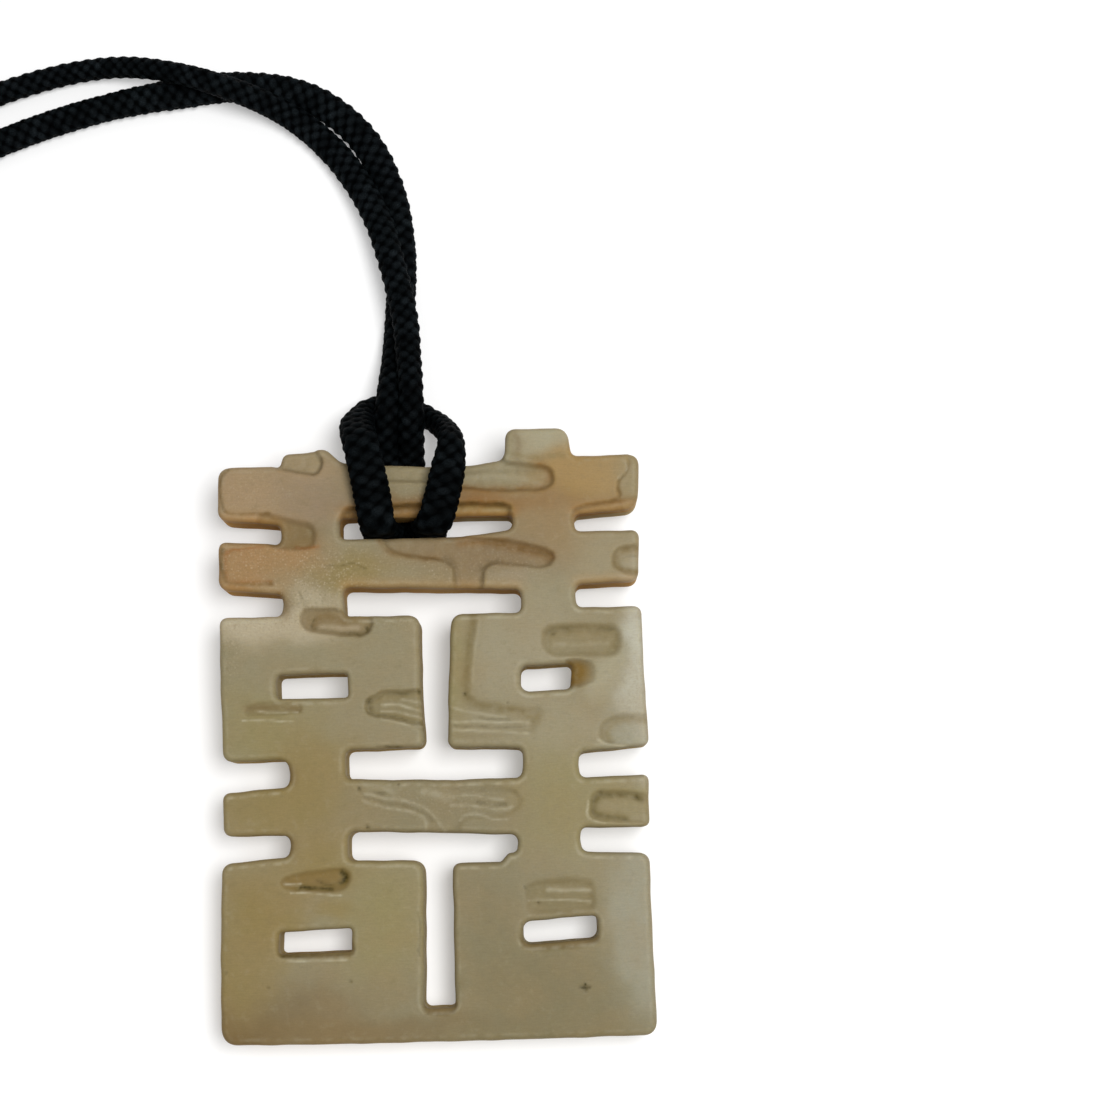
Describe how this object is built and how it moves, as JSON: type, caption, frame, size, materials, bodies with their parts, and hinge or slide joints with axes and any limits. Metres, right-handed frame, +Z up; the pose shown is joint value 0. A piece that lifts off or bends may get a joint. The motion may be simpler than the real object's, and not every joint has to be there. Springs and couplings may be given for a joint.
{
  "type": "carved jade pendant on a cord",
  "caption": "Flat pierced jade plate with carved bars, boxes and slots, on a braided cord hitched round its top bar and closed by a barrel clasp",
  "frame": {"origin": "on the ground under the middle of the jade plate's outline, the cord and clasp left aside", "axes": "+Z up out of the carved front, +Y along the plate from its lower edge to the bar that holds the cord, +X to the right of the front"},
  "size_m": [0.1384, 0.1019, 0.0103],
  "materials": {
    "jade": "satin",
    "cord": "matte",
    "clasp": "satin"
  },
  "bodies": {
    "root": {"jade_plate": "jade", "cord_hitch": "cord", "cord_strand_a": "cord", "cord_strand_b": "cord", "cord_clasp": "clasp"}
  },
  "joints": []
}
